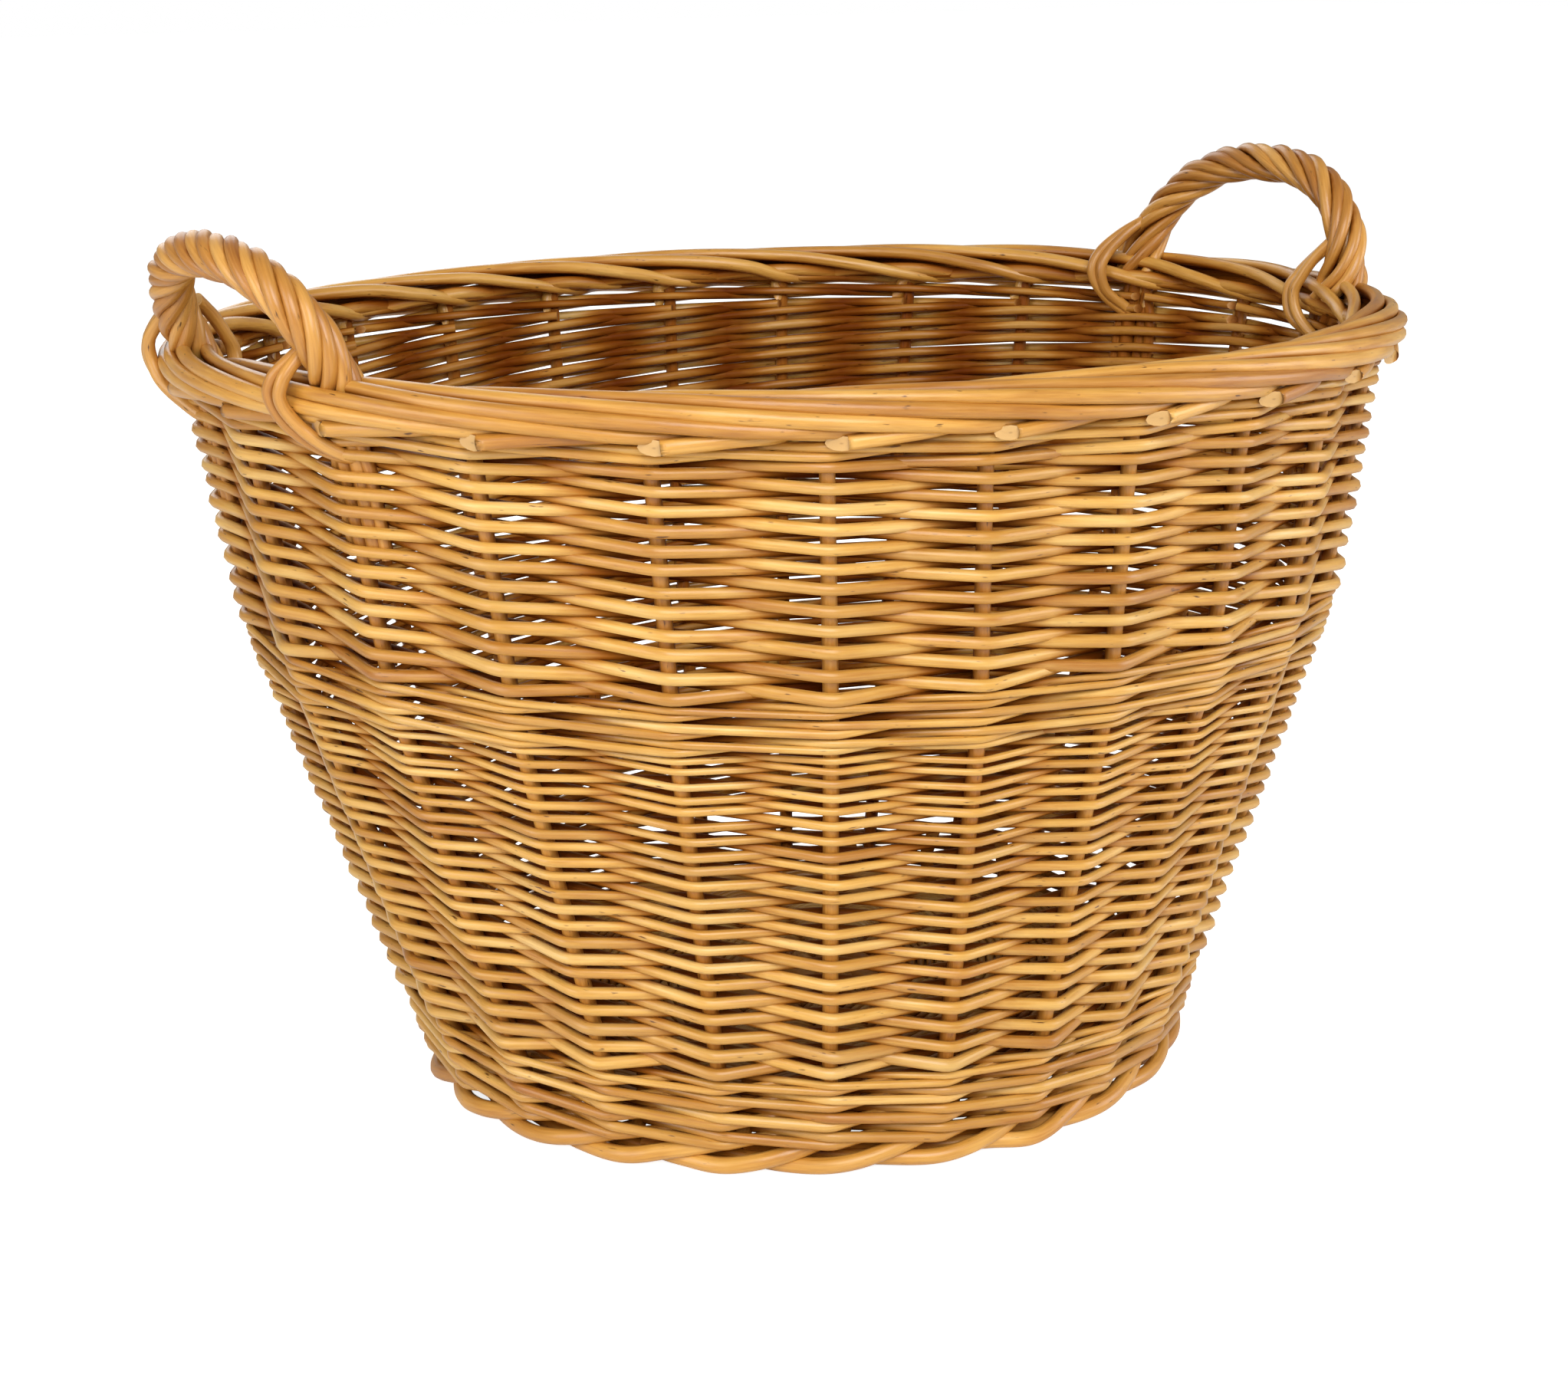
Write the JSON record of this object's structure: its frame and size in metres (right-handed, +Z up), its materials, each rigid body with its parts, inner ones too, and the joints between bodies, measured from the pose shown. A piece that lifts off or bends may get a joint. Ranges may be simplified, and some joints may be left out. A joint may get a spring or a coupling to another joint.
{
  "type": "wicker log basket",
  "caption": "Oval flared wicker log basket with upright stakes, banded siding, rolled border, plaited foot and two roped bow handles.",
  "frame": {"origin": "middle of the oval foot, on the floor", "axes": "+Z up through the mouth, +X along the oval towards the right-hand handle"},
  "size_m": [0.6377, 0.5359, 0.446],
  "materials": {
    "willow_base": "varnished buff willow, semi-gloss",
    "willow_foot": "varnished buff willow, semi-gloss",
    "willow_stake": "varnished buff willow, semi-gloss",
    "willow_weave": "varnished buff willow, semi-gloss",
    "willow_border": "varnished buff willow, semi-gloss",
    "willow_handle": "varnished buff willow, semi-gloss"
  },
  "bodies": {
    "root": {"base_long_sticks": "willow_base", "base_short_sticks": "willow_base", "base_weave": "willow_base", "foot_border": "willow_foot", "foot_stakes": "willow_foot", "side_stakes": "willow_stake", "bottom_wale": "willow_weave", "lower_siding": "willow_weave", "mid_wale": "willow_weave", "upper_siding": "willow_weave", "top_wale": "willow_weave", "top_border": "willow_border", "border_cut_ends": "willow_border", "handle_core_left": "willow_handle", "handle_rope_left": "willow_handle", "handle_liners_left": "willow_handle", "handle_lashing_left_front": "willow_handle", "handle_lashing_left_back": "willow_handle", "handle_core_right": "willow_handle", "handle_rope_right": "willow_handle", "handle_liners_right": "willow_handle", "handle_lashing_right_front": "willow_handle", "handle_lashing_right_back": "willow_handle"}
  },
  "joints": []
}
